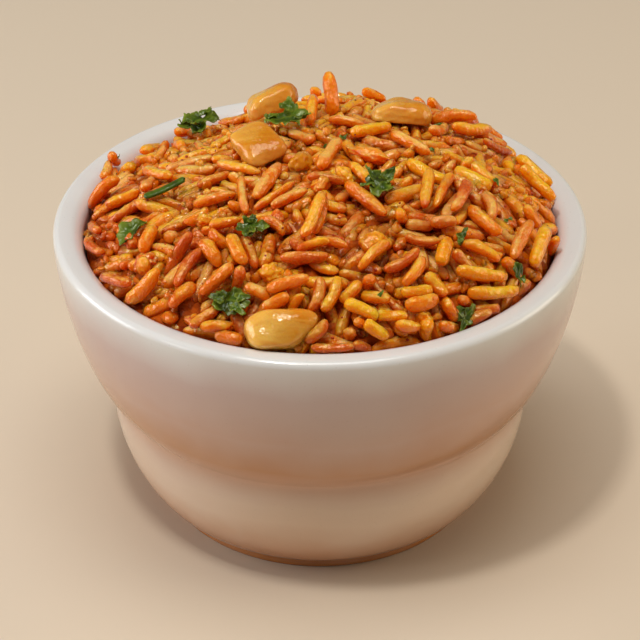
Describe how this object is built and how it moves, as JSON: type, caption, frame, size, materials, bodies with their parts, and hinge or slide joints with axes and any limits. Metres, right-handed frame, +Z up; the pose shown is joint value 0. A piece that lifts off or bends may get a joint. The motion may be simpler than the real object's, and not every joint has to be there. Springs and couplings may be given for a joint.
{
  "type": "bowl of seasoned rice",
  "caption": "Small thick round bowl with a flared wall and waist crease, heaped with seasoned long-grain rice, cooked onion and green herb pieces.",
  "frame": {"origin": "centre of the foot ring, on the surface that the bowl stands on", "axes": "+Z up along the bowl's axis, -Y towards the side shown in the picture, +X to the picture's right"},
  "size_m": [0.098, 0.098, 0.0757],
  "materials": {
    "bowl_glaze": "smooth ivory-white glaze",
    "seasoned_rice": "moist orange cooked rice, slightly oily",
    "cooked_onion": "glossy translucent amber onion",
    "parsley_green": "wet dark green leaf"
  },
  "bodies": {
    "root": {"bowl": "bowl_glaze", "rice_heap": "seasoned_rice", "onion_front": "cooked_onion", "onion_left": "cooked_onion", "onion_crown_left": "cooked_onion", "onion_crown_right": "cooked_onion", "parsley_back_left": "parsley_green", "parsley_crown": "parsley_green", "parsley_left": "parsley_green", "parsley_mid_left": "parsley_green", "parsley_front_left": "parsley_green", "parsley_right": "parsley_green", "parsley_front_right": "parsley_green", "chive_left": "parsley_green", "parsley_strip_right": "parsley_green", "parsley_rim_right": "parsley_green"}
  },
  "joints": []
}
